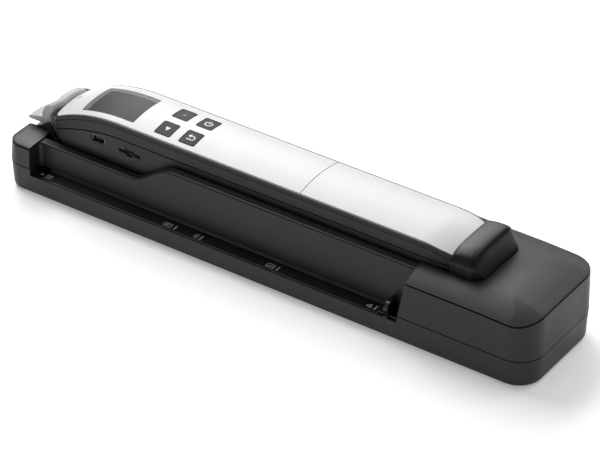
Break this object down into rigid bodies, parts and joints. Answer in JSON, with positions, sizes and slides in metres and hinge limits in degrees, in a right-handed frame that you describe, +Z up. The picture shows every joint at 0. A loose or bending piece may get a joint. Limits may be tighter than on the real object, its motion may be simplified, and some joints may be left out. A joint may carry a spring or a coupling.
{
  "type": "book scanner",
  "caption": "Slim hand scanner lying in a motor-driven paper feeder, with a lock lever, a sliding paper guide, a display, keys and a lift-off battery door.",
  "frame": {"origin": "bottom centre of the whole object's box, on the surface that its feet stand on", "axes": "+X along the length, from the lock lever to the hood; +Y from the paper entry to the back; +Z up"},
  "size_m": [0.3172, 0.0658, 0.0554],
  "materials": {
    "charcoal": "fine satin texture",
    "gloss_black": "polished",
    "black": "smooth satin",
    "white": "glossy painted",
    "grey": "satin",
    "display": "dark tinted window",
    "glass": "clear",
    "steel": "brushed",
    "bronze": "sintered",
    "rubber": "matt",
    "nylon": "moulded",
    "board": "solder mask",
    "battery": "printed sleeve",
    "keys": "fine matt"
  },
  "bodies": {
    "dock": {"dock_lower_shell": "charcoal", "dock_upper_shell": "charcoal", "hood": "gloss_black", "size_strip": "black", "screw_front_left": "steel", "screw_back_left": "steel", "screw_front_right": "steel", "screw_back_right": "steel", "foot_front_left": "rubber", "foot_back_left": "rubber", "foot_front_right": "rubber", "foot_back_right": "rubber", "lever_pin": "steel", "lever_spring": "steel", "front_bush_left": "bronze", "front_bush_right": "bronze", "rear_bush_left": "bronze", "rear_bush_right": "bronze", "bearing_bracket_left": "steel", "bearing_bracket_right": "steel", "motor_plate": "steel", "feed_motor": "steel", "paper_plate": "black", "dock_board": "board", "power_inlet": "steel", "docking_contacts": "black"},
    "lock_lever": {"lock_lever": "grey"},
    "paper_guide": {"paper_guide": "black"},
    "front_roller": {"front_roller_shaft": "steel", "front_roller_left": "rubber", "front_roller_right": "rubber", "front_roller_gear": "nylon"},
    "rear_roller": {"rear_roller_shaft": "steel", "rear_roller_left": "rubber", "rear_roller_right": "rubber", "rear_roller_gear": "nylon"},
    "motor_pinion": {"motor_pinion": "nylon"},
    "wand": {"wand_body": "charcoal", "wand_frame": "charcoal", "wand_rim": "gloss_black", "front_cover": "white", "display_window": "display", "display_module": "black", "main_board": "board", "keypad_board": "board", "usb_port": "steel", "card_slot": "steel", "sensor_module": "black", "scan_glass": "glass", "battery_front": "battery", "battery_rear": "battery", "contact_plate_left": "steel", "contact_plate_right": "steel"},
    "battery_door": {"battery_door": "white"},
    "button_up": {"button_up": "keys"},
    "button_down": {"button_down": "keys"},
    "button_power": {"button_power": "keys"},
    "button_back": {"button_back": "keys"},
    "wheel_left": {"wand_wheel_left": "rubber"},
    "wheel_right": {"wand_wheel_right": "rubber"}
  },
  "joints": [
    {"name": "wand_tilt", "type": "hinge", "parent": "dock", "child": "wand", "pos_m": [0.10395, 0, 0.0529], "axis": [0, 1, 0], "range_deg": [0, 25]},
    {"name": "lever_press", "type": "hinge", "parent": "dock", "child": "lock_lever", "pos_m": [-0.14565, 0, 0.0268], "axis": [0, -1, 0], "range_deg": [0, 14], "stiffness_Nm_per_rad": 0.03, "springref_deg": -11.46, "deforming": ["lever_spring"]},
    {"name": "guide_slide", "type": "slide", "parent": "dock", "child": "paper_guide", "axis": [-1, 0, 0], "range_m": [0, 0.16]},
    {"name": "front_roller_spin", "type": "hinge", "parent": "dock", "child": "front_roller", "pos_m": [-0.02165, -0.0096, 0.0178], "axis": [1, 0, 0], "continuous": true},
    {"name": "rear_roller_spin", "type": "hinge", "parent": "dock", "child": "rear_roller", "pos_m": [-0.02165, 0.0096, 0.0178], "axis": [1, 0, 0], "continuous": true},
    {"name": "motor_spin", "type": "hinge", "parent": "dock", "child": "motor_pinion", "pos_m": [0.12335, 0, 0.0178], "axis": [1, 0, 0], "continuous": true},
    {"name": "door_lift", "type": "slide", "parent": "wand", "child": "battery_door", "axis": [0, 0, 1], "range_m": [0, 0.012]},
    {"name": "button_down_press", "type": "slide", "parent": "wand", "child": "button_down", "axis": [0, 0, -1], "range_m": [0, 0.0006], "stiffness_N_per_m": 400, "springref_m": -0.0004},
    {"name": "button_back_press", "type": "slide", "parent": "wand", "child": "button_back", "axis": [0, 0, -1], "range_m": [0, 0.0006], "stiffness_N_per_m": 400, "springref_m": -0.0004},
    {"name": "button_up_press", "type": "slide", "parent": "wand", "child": "button_up", "axis": [0, 0, -1], "range_m": [0, 0.0006], "stiffness_N_per_m": 400, "springref_m": -0.0004},
    {"name": "button_power_press", "type": "slide", "parent": "wand", "child": "button_power", "axis": [0, 0, -1], "range_m": [0, 0.0006], "stiffness_N_per_m": 400, "springref_m": -0.0004},
    {"name": "wheel_left_spin", "type": "hinge", "parent": "wand", "child": "wheel_left", "pos_m": [-0.13065, 0, 0.0288], "axis": [1, 0, 0], "continuous": true},
    {"name": "wheel_right_spin", "type": "hinge", "parent": "wand", "child": "wheel_right", "pos_m": [0.09435, 0, 0.0288], "axis": [1, 0, 0], "continuous": true}
  ],
  "couplings": [
    {"joint": "rear_roller_spin", "follows": "front_roller_spin", "ratio": 1},
    {"joint": "motor_spin", "follows": "front_roller_spin", "ratio": -1.4}
  ]
}
